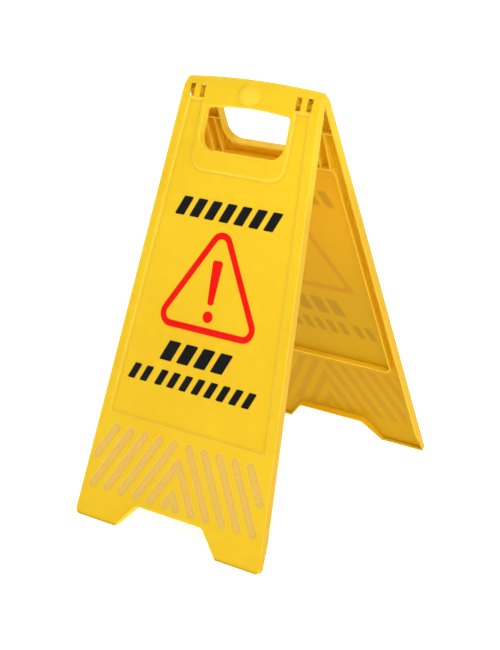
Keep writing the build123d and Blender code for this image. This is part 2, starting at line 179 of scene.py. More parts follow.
class NodeDesk:
    """Small helpers that add and join the nodes of one tree."""

    def __init__(self, tree: bpy.types.NodeTree) -> None:
        """Keeps the tree that the helpers work on."""
        self.tree = tree

    def add(self, kind: str, **settings: object) -> bpy.types.Node:
        """Adds a node.

        Args:
            kind: The node's type.
            settings: The properties to set on it.

        Returns:
            The node.
        """
        node = self.tree.nodes.new(kind)
        for name, value in settings.items():
            setattr(node, name, value)
        return node

    def join(self, source: object, target: bpy.types.NodeSocket) -> None:
        """Feeds a socket.

        Args:
            source: Another socket, or a plain value.
            target: The socket.
        """
        if isinstance(source, bpy.types.NodeSocket):
            self.tree.links.new(source, target)
        else:
            target.default_value = source

    def math(self, operation: str, *values: object, clamp: bool = False) -> bpy.types.NodeSocket:
        """Adds a Math node.

        Args:
            operation: What it does.
            values: Up to three sockets or numbers.
            clamp: Whether the result stays between 0 and 1.

        Returns:
            The result.
        """
        node = self.add("ShaderNodeMath", operation=operation, use_clamp=clamp)
        for socket, value in zip(node.inputs, values):
            self.join(value, socket)
        return node.outputs[0]

    def ramp(self, value: object, low: float, high: float) -> bpy.types.NodeSocket:
        """A smooth step, which may run backwards.

        Args:
            value: What is tested.
            low: Where the step is 0.
            high: Where the step is 1.

        Returns:
            The step.
        """
        node = self.add("ShaderNodeMapRange", interpolation_type="SMOOTHSTEP")
        backwards = low > high
        self.join(value, node.inputs["Value"])
        node.inputs["From Min"].default_value = min(low, high)
        node.inputs["From Max"].default_value = max(low, high)
        node.inputs["To Min"].default_value = 1.0 if backwards else 0.0
        node.inputs["To Max"].default_value = 0.0 if backwards else 1.0
        return node.outputs["Result"]

    def between(self, value: object, low: float, high: float, soft: float) -> bpy.types.NodeSocket:
        """1 between two values and 0 outside them.

        Args:
            value: What is tested.
            low: The lower end.
            high: The upper end.
            soft: Half the width of each soft end.

        Returns:
            The mask.
        """
        rise = self.ramp(value, low - soft, low + soft)
        fall = self.ramp(value, high + soft, high - soft)
        return self.math("MULTIPLY", rise, fall)

    def blend(self, factor: object, first: object, second: object) -> bpy.types.NodeSocket:
        """Mixes two colours.

        Args:
            factor: 0 for the first colour and 1 for the second.
            first: The first colour.
            second: The second colour.

        Returns:
            The mixed colour.
        """
        node = self.add("ShaderNodeMix", data_type="RGBA")
        self.join(factor, node.inputs[0])
        self.join(first, node.inputs[6])
        self.join(second, node.inputs[7])
        return node.outputs[2]

    def noise(self, vector: object, scale: float, detail: float = 3.0,
              roughness: float = 0.5) -> bpy.types.NodeSocket:
        """Adds a noise.

        Args:
            vector: Where it is read.
            scale: Features per metre, roughly.
            detail: The number of finer layers.
            roughness: The weight of the finer layers.

        Returns:
            A value of about 0 to 1.
        """
        node = self.add("ShaderNodeTexNoise")
        self.join(vector, node.inputs["Vector"])
        node.inputs["Scale"].default_value = scale
        node.inputs["Detail"].default_value = detail
        node.inputs["Roughness"].default_value = roughness
        return node.outputs["Fac"]

    def combine(self, x: object, y: object, z: object) -> bpy.types.NodeSocket:
        """Joins three values.

        Args:
            x: The first value.
            y: The second value.
            z: The third value.

        Returns:
            The vector.
        """
        node = self.add("ShaderNodeCombineXYZ")
        for socket, value in zip(node.inputs, (x, y, z)):
            self.join(value, socket)
        return node.outputs[0]

    def dot(self, vector: object, direction: Sequence[float]) -> bpy.types.NodeSocket:
        """The part of a vector along a direction.

        Args:
            vector: The vector.
            direction: The direction.

        Returns:
            The length of that part, times the length of the direction.
        """
        node = self.add("ShaderNodeVectorMath", operation="DOT_PRODUCT")
        self.join(vector, node.inputs[0])
        node.inputs[1].default_value = tuple(direction)
        return node.outputs["Value"]

    def bump(self, height: object, distance: float, strength: float,
             normal: Optional[bpy.types.NodeSocket] = None) -> bpy.types.NodeSocket:
        """Turns a height into a normal.

        Args:
            height: The height, from 0 to 1.
            distance: What a height of 1 stands for.
            strength: How much of it is used.
            normal: Another normal to work on top of.

        Returns:
            The normal.
        """
        node = self.add("ShaderNodeBump")
        self.join(height, node.inputs["Height"])
        node.inputs["Distance"].default_value = distance
        node.inputs["Strength"].default_value = strength
        if normal is not None:
            self.join(normal, node.inputs["Normal"])
        return node.outputs["Normal"]


def rgba(colour: Colour) -> tuple[float, float, float, float]:
    """A colour with full cover."""
    return (*colour, 1.0)


def new_material(name: str) -> tuple[bpy.types.Material, NodeDesk, bpy.types.Node]:
    """Starts a material.

    Args:
        name: The finish's name.

    Returns:
        The material, a desk on its tree and its Principled node.
    """
    material = bpy.data.materials.new(name)
    material.use_nodes = True
    tree = material.node_tree
    return material, NodeDesk(tree), tree.nodes["Principled BSDF"]


# Shapes of the warning graphics, shared by the films and by what shows through the skin

@dataclass(frozen=True)
class HazardBand:
    """A band of equal slanted bars."""

    node: str
    count: int
    gap: float = 9.0 * MM
    slant: float = math.radians(24.0)
    corner_radius: float = 1.2 * MM
    bars_before_break: int = 0
    break_extra: float = 0.0

    def bar_width(self, low: Vector, high: Vector) -> float:
        """The width of one bar.

        Args:
            low: The band's lowest corner in panel axes.
            high: Its highest corner.

        Returns:
            The width.
        """
        shift = (high.y - low.y) * math.tan(self.slant)
        room = high.x - low.x - shift - self.break_extra
        return (room - (self.count - 1) * self.gap) / self.count

    def runs(self) -> list[tuple[int, int]]:
        """The unbroken runs of bars.

        Returns:
            The first bar and the number of bars of each.
        """
        if not self.bars_before_break:
            return [(0, self.count)]
        return [(0, self.bars_before_break),
                (self.bars_before_break, self.count - self.bars_before_break)]

    def bar_start(self, index: int, width: float) -> float:
        """How far a bar's lower left corner lies from the band's left end."""
        past_break = self.bars_before_break and index >= self.bars_before_break
        return index * (width + self.gap) + (self.break_extra if past_break else 0.0)


@dataclass(frozen=True)
class WarningTriangle:
    """A rounded triangular ring."""

    node: str = "warning_triangle"
    side: float = 177.5 * MM
    corner_radius: float = 17.8 * MM
    stroke: float = 8.8 * MM


@dataclass(frozen=True)
class ExclamationMark:
    """A tapered bar over a dot."""

    node: str = "exclamation_mark"
    top_width: float = 16.0 * MM
    foot_width: float = 9.0 * MM
    dot_radius: float = 7.6 * MM
    dot_gap: float = 8.4 * MM


BANDS = (
    HazardBand("upper_hazard_band", 7),
    HazardBand("middle_hazard_band", 4),
    HazardBand("lower_hazard_band", 10, bars_before_break=2, break_extra=4.5 * MM),
)
TRIANGLE = WarningTriangle()
MARK = ExclamationMark()


# Finishes

@dataclass(frozen=True)
class ShowThrough:
    """The blurred, painted shade where the films block the light that comes through the thin skin, on
    its inner side.
    """

    blur: float = 2.2
    edge_blur: float = 2.6
    black_strength: float = 0.34
    red_strength: float = 0.30
    row_strength: float = 0.40

    def band(self, desk: NodeDesk, across: object, climb: object, axes: PanelAxes,
             band: HazardBand) -> bpy.types.NodeSocket:
        """Shades one band.

        Args:
            desk: The material's desk.
            across: Panel position in millimetres.
            climb: Panel position in millimetres.
            axes: The panel's axes.
            band: The band.

        Returns:
            A value that is 1 behind a bar.
        """
        low, high = (corner / MM for corner in axes.extent(band.node))
        width = band.bar_width(low * MM, high * MM) / MM
        pitch = width + band.gap / MM
        lift = desk.math("SUBTRACT", climb, low.y)
        leaned = desk.math("MULTIPLY", lift, math.tan(band.slant))
        start = desk.math("SUBTRACT", desk.math("SUBTRACT", across, low.x), leaned)
        shade = None
        for first, count in band.runs():
            run_start = band.bar_start(first, width * MM) / MM
            place = desk.math("SUBTRACT", start, run_start)
            middle = desk.math("SUBTRACT", place, width / 2)
            distance = desk.math("PINGPONG", middle, pitch / 2)
            bars = desk.ramp(distance, width / 2 + self.blur, width / 2 - self.blur)
            length = count * pitch - band.gap / MM
            reach = desk.between(place, 0.0, length, self.blur)
            run = desk.math("MULTIPLY", bars, reach)
            shade = run if shade is None else desk.math("MAXIMUM", shade, run)
        rows = desk.between(climb, low.y, high.y, self.edge_blur)
        return desk.math("MULTIPLY", shade, rows)

    def triangle(self, desk: NodeDesk, across: object, climb: object,
                 axes: PanelAxes) -> bpy.types.NodeSocket:
        """Shades the triangular ring.

        Args:
            desk: The material's desk.
            across: Panel position in millimetres.
            climb: Panel position in millimetres.
            axes: The panel's axes.

        Returns:
            A value that is 1 behind the ring.
        """
        low, _ = (corner / MM for corner in axes.extent(TRIANGLE.node))
        inner = TRIANGLE.side / MM / (2 * math.sqrt(3))
        centre = low.y + inner
        rise = desk.math("SUBTRACT", climb, centre)
        slanted = desk.math("MULTIPLY", desk.math("ABSOLUTE", across), math.cos(math.radians(30)))
        upper = desk.math("ADD", slanted, desk.math("MULTIPLY", rise, 0.5))
        lower = desk.math("MULTIPLY", rise, -1.0)
        reach = desk.math("SMOOTH_MAX", upper, lower, TRIANGLE.corner_radius / MM * 0.7)
        stroke = TRIANGLE.stroke / MM
        return desk.between(reach, inner - stroke, inner, self.blur)

    def mark(self, desk: NodeDesk, across: object, climb: object,
             axes: PanelAxes) -> bpy.types.NodeSocket:
        """Shades the exclamation mark.

        Args:
            desk: The material's desk.
            across: Panel position in millimetres.
            climb: Panel position in millimetres.
            axes: The panel's axes.

        Returns:
            A value that is 1 behind the mark.
        """
        low, high = (corner / MM for corner in axes.extent(MARK.node))
        dot_radius = MARK.dot_radius / MM
        foot = low.y + 2 * dot_radius + MARK.dot_gap / MM
        half_foot = MARK.foot_width / MM / 2
        half_top = MARK.top_width / MM / 2
        spread = (half_top - half_foot) / (high.y - foot)
        wide = desk.math("ABSOLUTE", across)
        taper = desk.math("MULTIPLY", desk.math("SUBTRACT", climb, foot), spread)
        narrow = desk.math("SUBTRACT", wide, taper)
        bar = desk.math("MULTIPLY", desk.ramp(narrow, half_foot + self.blur, half_foot - self.blur),
                        desk.between(climb, foot, high.y, self.blur))
        drop = desk.math("SUBTRACT", climb, low.y + dot_radius)
        squares = desk.math("ADD", desk.math("MULTIPLY", wide, wide),
                            desk.math("MULTIPLY", drop, drop))
        dot = desk.ramp(desk.math("SQRT", squares), dot_radius + self.blur, dot_radius - self.blur)
        return desk.math("MAXIMUM", bar, dot)


@dataclass(frozen=True)
class GrooveRows:
    """The slanted rows of the grip grooves, which also show on the skin's inner side as painted
    shade.
    """

    first: float = 11.9
    pitch: float = 24.6
    half_width: float = 5.4
    slant: float = math.radians(29.5)
    top: float = -469.1
    foot: float = -551.4

    def stripes(self, desk: NodeDesk, across: object, climb: object) -> bpy.types.NodeSocket:
        """Shades the rows.

        Args:
            desk: The material's desk.
            across: Panel position in millimetres.
            climb: Panel position in millimetres.

        Returns:
            A value that is 1 behind a groove.
        """
        wide = desk.math("ABSOLUTE", across)
        fall = desk.math("MULTIPLY", desk.math("SUBTRACT", self.top, climb), math.tan(self.slant))
        start = desk.math("SUBTRACT", desk.math("SUBTRACT", wide, fall), self.first)
        distance = desk.math("MULTIPLY", desk.math("PINGPONG", start, self.pitch / 2),
                             math.cos(self.slant))
        rows = desk.ramp(distance, self.half_width + 1.6, self.half_width - 1.6)
        length = desk.between(climb, self.foot - self.half_width, self.top + self.half_width, 2.0)
        sides = desk.ramp(wide, 134.0, 128.0)
        return desk.math("MULTIPLY", desk.math("MULTIPLY", rows, length), sides)


@dataclass(frozen=True)
class MouldedPlastic:
    """Slightly translucent satin polypropylene, as moulded, with a matte texture in the grooves."""

    name: str = "moulded_yellow_plastic"
    colour: Colour = (0.875, 0.600, 0.018)
    pale: Colour = (0.890, 0.630, 0.026)
    deep: Colour = (0.850, 0.555, 0.012)
    # Painted shade for the side walls that face away from the middle of the panel
    flank_shade: Colour = (0.760, 0.440, 0.006)
    # Inner side colours: painted shade, painted lighter near the hinge and in the channel as glow of
    # light through the thin skin
    inner_top: Colour = (0.790, 0.470, 0.000)
    inner: Colour = (0.590, 0.350, 0.000)
    channel: Colour = (0.890, 0.560, 0.002)
    # Painted shade in the concave corners where the steps meet the flat faces
    shaded_crease_colour: Colour = (0.600, 0.330, 0.002)
    # Paler, greyer yellow that paints the sheen of the matte texture in the grooves
    groove: Colour = (0.865, 0.580, 0.115)
    # Paler yellow for painted highlights on the dome, the rounds and the edges, and for wear on the
    # edges
    highlight_and_wear: Colour = (0.970, 0.760, 0.110)
    # Painted shade where the films and the grooves show through to the inner side
    black_shade: Colour = (0.210, 0.105, 0.004)
    red_shade: Colour = (0.480, 0.150, 0.006)
    row_shade: Colour = (0.430, 0.225, 0.006)
    roughness: float = 0.40
    groove_roughness: float = 0.72
    inner_matte: float = 0.55
    edge_radius: float = 0.8 * MM
    edge_strength: float = 0.75
    radius_strength: float = 0.46
    crease_reach: float = 6.0 * MM
    crease_shade_strength: float = 0.95
    dome_strength: float = 0.32
    flank_shade_strength: float = 0.85
    flow_wander: float = 40.0
    flow_rate: float = 0.21
    flow_strength: float = 0.10
    refraction: float = 1.49
    specular: float = 0.16
    translucency: float = 0.40
    translucent_reach: float = 3.2 * MM
    translucent_tint: Colour = (1.0, 0.55, 0.12)
    drift: Noise = (5.5, 4.0, 0.55)
    mottle: Noise = (46.0, 5.0, 0.6)
    smudge: Noise = (14.0, 6.0, 0.62)
    fine_grain: Noise = (620.0, 2.0, 0.5)
    groove_grain: Noise = (900.0, 2.0, 0.7)
    groove_texture: Noise = (1500.0, 3.0, 0.7)
    smudge_strength: float = 0.09
    grain_strength: float = 0.05
    edge_polish: float = 0.06
    grain_shade: float = 0.82
    scratch_stretch: Colour = (900.0, 30.0, 30.0)
    scratch_turn: Colour = (0.35, 0.2, 0.5)

    def material(self, axes: PanelAxes) -> bpy.types.Material:
        """Builds the finish of one panel.

        Args:
            axes: The panel's axes, which place what belongs to a place on the panel.

        Returns:
            The material.
        """
        material, desk, shader = new_material(f"{self.name}_{axes.side.body}")
        across, climb, proud = self._place(desk, axes)
        depth = desk.math("SUBTRACT", AXIS_DEPTH / MM, proud)
        facing = self._facing(desk, axes)
        inside = self._inside(desk, depth, facing)
        groove = self._groove(desk, climb, depth, facing)
        edge, rounded = self._edges(desk)
        # Painted highlight lines on the moulded rounds, added to the sharp edges
        radius_highlights = desk.math("MULTIPLY", self._rounding(desk, facing, climb), self.radius_strength)
        edge = desk.math("MAXIMUM", edge, radius_highlights)
        coordinates = desk.add("ShaderNodeTexCoord").outputs["Object"]
        base = self._base(desk, coordinates, across, climb)
        # Paints a highlight on the crown of the press dome
        base = desk.blend(desk.math("MULTIPLY", self._dome(desk, depth), self.dome_strength), base,
                          rgba(self.highlight_and_wear))
        # Paints shade on the outward side walls below the ribs
        shaded_flanks = self._flanks(desk, axes, across, climb)
        base = desk.blend(desk.math("MULTIPLY", shaded_flanks, self.flank_shade_strength), base,
                          rgba(self.flank_shade))
        # Paints the inner side in shade, with painted glow near the hinge and in the channel
        base = desk.blend(inside, base, self._inner_colour(desk, climb, depth))
        # Paints the shade of the films and the grooves showing through to the inner side
        base = self._shades(desk, base, (across, climb, depth), inside, axes)
        # Paints the sheen of the matte texture on the groove floors
        base = desk.blend(groove, base, self._groove_colour(desk, coordinates))
        # Paints ambient-occlusion shade along the crease lines
        shaded_creases = desk.math("MULTIPLY", self._creases(desk, facing), self.crease_shade_strength)
        base = desk.blend(shaded_creases, base, rgba(self.shaded_crease_colour))
        # Paints the edges paler: painted highlight, partly edge wear
        base = desk.blend(desk.math("MULTIPLY", edge, self.edge_strength), base,
                          rgba(self.highlight_and_wear))
        desk.join(base, shader.inputs["Base Color"])
        matte = desk.math("MAXIMUM", groove, desk.math("MULTIPLY", inside, self.inner_matte))
        desk.join(self._gloss(desk, coordinates, matte, edge), shader.inputs["Roughness"])
        desk.join(self._relief(desk, coordinates, groove, rounded), shader.inputs["Normal"])
        shader.inputs["IOR"].default_value = self.refraction
        shader.inputs["Specular IOR Level"].default_value = self.specular
        shader.inputs["Subsurface Weight"].default_value = self.translucency
        shader.inputs["Subsurface Radius"].default_value = self.translucent_tint
        shader.inputs["Subsurface Scale"].default_value = self.translucent_reach
        return material

    def _place(self, desk: NodeDesk, axes: PanelAxes) -> tuple[object, object, object]:
        """The panel position of a point.

        Args:
            desk: The material's desk.
            axes: The panel's axes.

        Returns:
            Across, climb and proud, in millimetres.
        """
        coordinates = desk.add("ShaderNodeTexCoord").outputs["Object"]
        shifted = desk.add("ShaderNodeVectorMath", operation="SUBTRACT")
        desk.join(coordinates, shifted.inputs[0])
        shifted.inputs[1].default_value = tuple(axes.origin)
        directions = (axes.across, axes.climb, axes.proud)
        return tuple(desk.dot(shifted.outputs[0], direction / MM) for direction in directions)

    def _facing(self, desk: NodeDesk, axes: PanelAxes) -> bpy.types.NodeSocket:
        """How far a surface faces out of the panel, from 1 to -1."""
        normal = desk.add("ShaderNodeTexCoord").outputs["Normal"]
        return desk.dot(normal, axes.proud)

    def _inside(self, desk: NodeDesk, depth: object, facing: object) -> bpy.types.NodeSocket:
        """1 on the inner side of the skin, and 0 on the outer side and the rims."""
        return desk.math("MULTIPLY", desk.ramp(facing, *INNER_TURN), desk.ramp(depth, *RIM_DEPTH))

    def _inner_colour(self, desk: NodeDesk, climb: object, depth: object) -> bpy.types.NodeSocket:
        """The inner side painted darker as shade, and lighter near the hinge and in the channel as
        painted glow.
        """
        lined = desk.blend(desk.ramp(climb, *INNER_FADE), rgba(self.inner), rgba(self.inner_top))
        return desk.blend(self._channel(desk, climb, depth), lined, rgba(self.channel))

    def _channel(self, desk: NodeDesk, climb: object, depth: object) -> bpy.types.NodeSocket:
        """1 at the thin skin between the rib frame and the flange, above the grooves, where glow is
        painted.

        Args:
            desk: The material's desk.
            climb: Panel position in millimetres.
            depth: Depth under the outer face in millimetres.

        Returns:
            The mask.
        """
        skin = SKIN / MM
        thin = desk.between(depth, skin - 0.7, skin + 0.7, 0.2)
        return desk.math("MULTIPLY", thin, desk.ramp(climb, *CHANNEL_END))

    def _flanks(self, desk: NodeDesk, axes: PanelAxes, across: object,
                climb: object) -> bpy.types.NodeSocket:
        """1 on the side walls that face away from the middle of the panel, below the ribs, where
        shade is painted.

        Args:
            desk: The material's desk.
            axes: The panel's axes.
            across: Panel position in millimetres.
            climb: Panel position in millimetres.

        Returns:
            The mask.
        """
        normal = desk.add("ShaderNodeTexCoord").outputs["Normal"]
        sideways = desk.dot(normal, axes.across)
        outward = desk.math("MULTIPLY", sideways, desk.math("SIGN", across))
        return desk.math("MULTIPLY", desk.ramp(outward, *FLANK_TURN), desk.ramp(climb, *RIBS_END))

    def _rounding(self, desk: NodeDesk, facing: object, climb: object) -> bpy.types.NodeSocket:
        """1 on the moulded rounds of steps and rims below the bend of the brow, where highlights are
        painted.
        """
        turned = desk.between(desk.math("ABSOLUTE", facing), 0.30, 0.92, 0.08)
        return desk.math("MULTIPLY", turned, desk.ramp(climb, *BROW_BEND))

    def _dome(self, desk: NodeDesk, depth: object) -> bpy.types.NodeSocket:
        """1 on the crown of the press dome, where a paler highlight is painted."""
        return desk.ramp(depth, *DOME_RISE)

    def _creases(self, desk: NodeDesk, facing: object) -> bpy.types.NodeSocket:
        """Finds where shade is painted in the concave corners of the outer side, where the steps meet
        the flat faces.

        Args:
            desk: The material's desk.
            facing: How far the surface faces out of the panel.

        Returns:
            A value that is 1 in a crease.
        """
        shade = desk.add("ShaderNodeAmbientOcclusion", samples=12)
        shade.inputs["Distance"].default_value = self.crease_reach
        near = desk.ramp(shade.outputs["AO"], *CREASE_SHADE)
        return desk.math("MULTIPLY", near, desk.ramp(facing, *OUTER_TURN))

    def _groove(self, desk: NodeDesk, climb: object, depth: object,
                facing: object) -> bpy.types.NodeSocket:
        """Finds the floors of the grip grooves.

        Args:
            desk: The material's desk.
            climb: Panel position in millimetres.
            depth: Depth under the outer face in millimetres.
            facing: How far the surface faces out of the panel.

        Returns:
            A value that is 1 on a groove's floor.
        """
        floor = GROOVE_DEPTH / MM
        deep = desk.between(depth, floor * 0.35, floor * 1.6, floor * 0.15)
        rows = desk.between(climb, *GROOVE_REACH, 1.0)
        outward = desk.ramp(facing, *FLOOR_TURN)
        return desk.math("MULTIPLY", desk.math("MULTIPLY", deep, rows), outward)

    def _edges(self, desk: NodeDesk) -> tuple[object, bpy.types.NodeSocket]:
        """Finds the sharp edges.

        Args:
            desk: The material's desk.

        Returns:
            How near a point is to a sharp edge, and the normal that rounds such edges.
        """
        bevel = desk.add("ShaderNodeBevel", samples=6)
        bevel.inputs["Radius"].default_value = self.edge_radius
        geometry = desk.add("ShaderNodeNewGeometry")
        turn = desk.add("ShaderNodeVectorMath", operation="DOT_PRODUCT")
        desk.join(bevel.outputs[0], turn.inputs[0])
        desk.join(geometry.outputs["Normal"], turn.inputs[1])
        return desk.ramp(turn.outputs["Value"], *EDGE_TURN), bevel.outputs[0]

    def _base(self, desk: NodeDesk, coordinates: object, across: object,
              climb: object) -> bpy.types.NodeSocket:
        """The yellow with its slow drift of shade and the flow lines round the gate.

        Args:
            desk: The material's desk.
            coordinates: Object coordinates.
            across: Panel position in millimetres.
            climb: Panel position in millimetres.

        Returns:
            The colour.
        """
        drift = desk.noise(coordinates, *self.drift)
        base = desk.blend(desk.ramp(drift, 0.30, 0.72), rgba(self.deep), rgba(self.colour))
        mottle = desk.noise(coordinates, *self.mottle)
        base = desk.blend(desk.math("MULTIPLY", desk.ramp(mottle, 0.48, 0.75), 0.5), base,
                          rgba(self.pale))
        away = desk.math("SUBTRACT", climb, GATE_CLIMB)
        squares = desk.math("ADD", desk.math("MULTIPLY", across, across),
                            desk.math("MULTIPLY", away, away))
        radius = desk.math("SQRT", squares)
        wander = desk.math("MULTIPLY", desk.noise(coordinates, 9.0, 2.0), self.flow_wander)
        wave = desk.math("SINE", desk.math("MULTIPLY", desk.math("ADD", radius, wander),
                                           self.flow_rate))
        flow = desk.math("MULTIPLY", desk.ramp(wave, 0.2, 1.0), self.flow_strength)
        return desk.blend(flow, base, rgba(self.pale))

    def _groove_colour(self, desk: NodeDesk, coordinates: object) -> bpy.types.NodeSocket:
        """The paler, greyer yellow painted as the sheen of the matte texture, with a random grain.

        Args:
            desk: The material's desk.
            coordinates: Object coordinates.

        Returns:
            The colour.
        """
        grain = desk.noise(coordinates, *self.groove_grain)
        darker = tuple(channel * self.grain_shade for channel in self.groove)
        return desk.blend(desk.ramp(grain, 0.35, 0.65), rgba(darker), rgba(self.groove))

    def _shades(self, desk: NodeDesk, base: object, place: tuple[object, object, object],
                inside: object, axes: PanelAxes) -> bpy.types.NodeSocket:
        """Paints the shade that shows through to the inner side: of the films behind the field, and
        of the grooves.

        Args:
            desk: The material's desk.
            base: The colour so far.
            place: Across, climb and depth, in millimetres.
            inside: 1 on the inner side.
            axes: The panel's axes.

        Returns:
            The colour.
        """
        across, climb, depth = place
        shade = ShowThrough()
        floor = (SKIN + FIELD_DEPTH) / MM
        behind = desk.math("MULTIPLY", inside, desk.between(depth, floor - 0.6, floor + 0.6, 0.2))
        black = None
        for band in BANDS:
            bars = shade.band(desk, across, climb, axes, band)
            black = bars if black is None else desk.math("MAXIMUM", black, bars)
        red = desk.math("MAXIMUM", shade.triangle(desk, across, climb, axes),
                        shade.mark(desk, across, climb, axes))
        rows = desk.math("MULTIPLY", GrooveRows().stripes(desk, across, climb), inside)
        base = desk.blend(desk.math("MULTIPLY", rows, shade.row_strength), base,
                          rgba(self.row_shade))
        black = desk.math("MULTIPLY", desk.math("MULTIPLY", black, behind), shade.black_strength)
        red = desk.math("MULTIPLY", desk.math("MULTIPLY", red, behind), shade.red_strength)
        base = desk.blend(black, base, rgba(self.black_shade))
        return desk.blend(red, base, rgba(self.red_shade))

    def _gloss(self, desk: NodeDesk, coordinates: object, matte: object,
               edge: object) -> bpy.types.NodeSocket:
        """Makes a satin roughness, smudged by handling and rubbed smoother on edges.

        Args:
            desk: The material's desk.
            coordinates: Object coordinates.
            matte: How matte a place is.
            edge: How near a place is to an edge.

        Returns:
            The roughness.
        """
        smudge = desk.noise(coordinates, *self.smudge)
        grain = desk.noise(coordinates, *self.fine_grain)
        smudges = desk.math("MULTIPLY", desk.ramp(smudge, 0.35, 0.75),
                            self.smudge_strength)
        rough = desk.math("ADD", self.roughness, smudges)
        rough = desk.math("ADD", rough, desk.math("MULTIPLY", grain, self.grain_strength))
        rough = desk.math("SUBTRACT", rough, desk.math("MULTIPLY", edge, self.edge_polish))
        extra = desk.math("SUBTRACT", self.groove_roughness, rough)
        return desk.math("ADD", rough, desk.math("MULTIPLY", extra, matte), clamp=True)

    def _relief(self, desk: NodeDesk, coordinates: object, groove: object,
                rounded: bpy.types.NodeSocket) -> bpy.types.NodeSocket:
        """Adds slow sink marks, orange peel, hairline scratches and the grooves' texture.

        Args:
            desk: The material's desk.
            coordinates: Object coordinates.
            groove: 1 on the grooves' floors.
            rounded: The normal that rounds the sharp edges.

        Returns:
            The normal.
        """
        waves = desk.bump(desk.noise(coordinates, 11.0, 2.0), 1.2 * MM, 0.22, rounded)
        peel = desk.bump(desk.noise(coordinates, 420.0, 2.0), 0.05 * MM, 0.22, waves)
        stretched = desk.add("ShaderNodeMapping")
        desk.join(coordinates, stretched.inputs["Vector"])
        stretched.inputs["Rotation"].default_value = self.scratch_turn
        stretched.inputs["Scale"].default_value = self.scratch_stretch
        hairs = desk.noise(stretched.outputs[0], 1.0, 2.0)
        lines = desk.ramp(hairs, 0.68, 0.74)
        scratched = desk.bump(desk.math("MULTIPLY", lines, -1.0), 0.03 * MM, 0.25, peel)
        texture = desk.noise(coordinates, *self.groove_texture)
        return desk.bump(desk.math("MULTIPLY", texture, groove), 0.25 * MM, 0.8, scratched)


@dataclass(frozen=True)
class PrintedFilm:
    """Satin film with a faint calender grain and a few specks."""

    slot: str
    colour: Colour
    worn: Colour
    roughness: float

    def material(self) -> bpy.types.Material:
        """Builds the finish.

        Returns:
            The material.
        """
        material, desk, shader = new_material(f"{self.slot}_finish")
        coordinates = desk.add("ShaderNodeTexCoord").outputs["Object"]
        drift = desk.noise(coordinates, 22.0, 5.0, 0.6)
        base = desk.blend(desk.ramp(drift, 0.35, 0.80), rgba(self.colour), rgba(self.worn))
        specks = desk.ramp(desk.noise(coordinates, 700.0, 1.0), 0.76, 0.80)
        base = desk.blend(desk.math("MULTIPLY", specks, 0.5), base, rgba(self.worn))
        desk.join(base, shader.inputs["Base Color"])
        smudge = desk.noise(coordinates, 40.0, 4.0, 0.6)
        rough = desk.math("ADD", self.roughness, desk.math("MULTIPLY", smudge, 0.14))
        desk.join(rough, shader.inputs["Roughness"])
        grain = desk.bump(desk.noise(coordinates, 1300.0, 2.0), 0.02 * MM, 0.25)
        sag = desk.bump(desk.noise(coordinates, 60.0, 2.0), 0.15 * MM, 0.20, grain)
        desk.join(sag, shader.inputs["Normal"])
        shader.inputs["Specular IOR Level"].default_value = 0.10
        return material


FILM_FINISHES = {
    Ink.BLACK: PrintedFilm("black_film", (0.005, 0.005, 0.006), (0.010, 0.010, 0.011), 0.42),
    Ink.RED: PrintedFilm("red_film", (0.870, 0.003, 0.002), (0.900, 0.010, 0.006), 0.45),
}


# Mesh building

def link_mesh(name: str, mesh: bpy.types.Mesh) -> bpy.types.Object:
    """Puts a mesh in the scene as an object at the origin.

    Args:
        name: What the mesh and the object are called.
        mesh: The mesh.

    Returns:
        The object.
    """
    mesh.name = name
    piece = bpy.data.objects.new(name, mesh)
    bpy.context.scene.collection.objects.link(piece)
    return piece


def settle(piece: bpy.types.Object, side: Side) -> None:
    """Makes a piece ride on its panel and reports it.

    Args:
        piece: The piece.
        side: The panel it rides on.
    """
    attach(piece, side.body)
    LOG.info("%s: %d faces on %s", piece.name, len(piece.data.polygons), side.body)


def rounded_outline(corners: Sequence[Point], radius: float, steps: int) -> list[Point]:
    """Rounds the corners of a convex outline that runs anticlockwise.

    Args:
        corners: The sharp corners.
        radius: The radius of every corner.
        steps: How many chords make each corner's arc.

    Returns:
        The points of the rounded outline.
    """
    outline: list[Point] = []
    for index, corner in enumerate(corners):
        here = Vector(corner)
        back = (Vector(corners[index - 1]) - here).normalized()
        ahead = (Vector(corners[(index + 1) % len(corners)]) - here).normalized()
        half = back.angle(ahead) / 2
        centre = here + (back + ahead).normalized() * (radius / math.sin(half))
        start = here + back * (radius / math.tan(half)) - centre
        sweep = math.pi - 2 * half
        for step in range(steps + 1):
            angle = sweep * step / steps
            turned = Matrix.Rotation(angle, 2) @ start
            outline.append(tuple(centre + turned))
    return outline


def circle_outline(centre: Point, radius: float, steps: int) -> list[Point]:
    """The points of a circle, anticlockwise."""
    angles = (2 * math.pi * step / steps for step in range(steps))
    return [(centre[0] + radius * math.cos(a), centre[1] + radius * math.sin(a)) for a in angles]


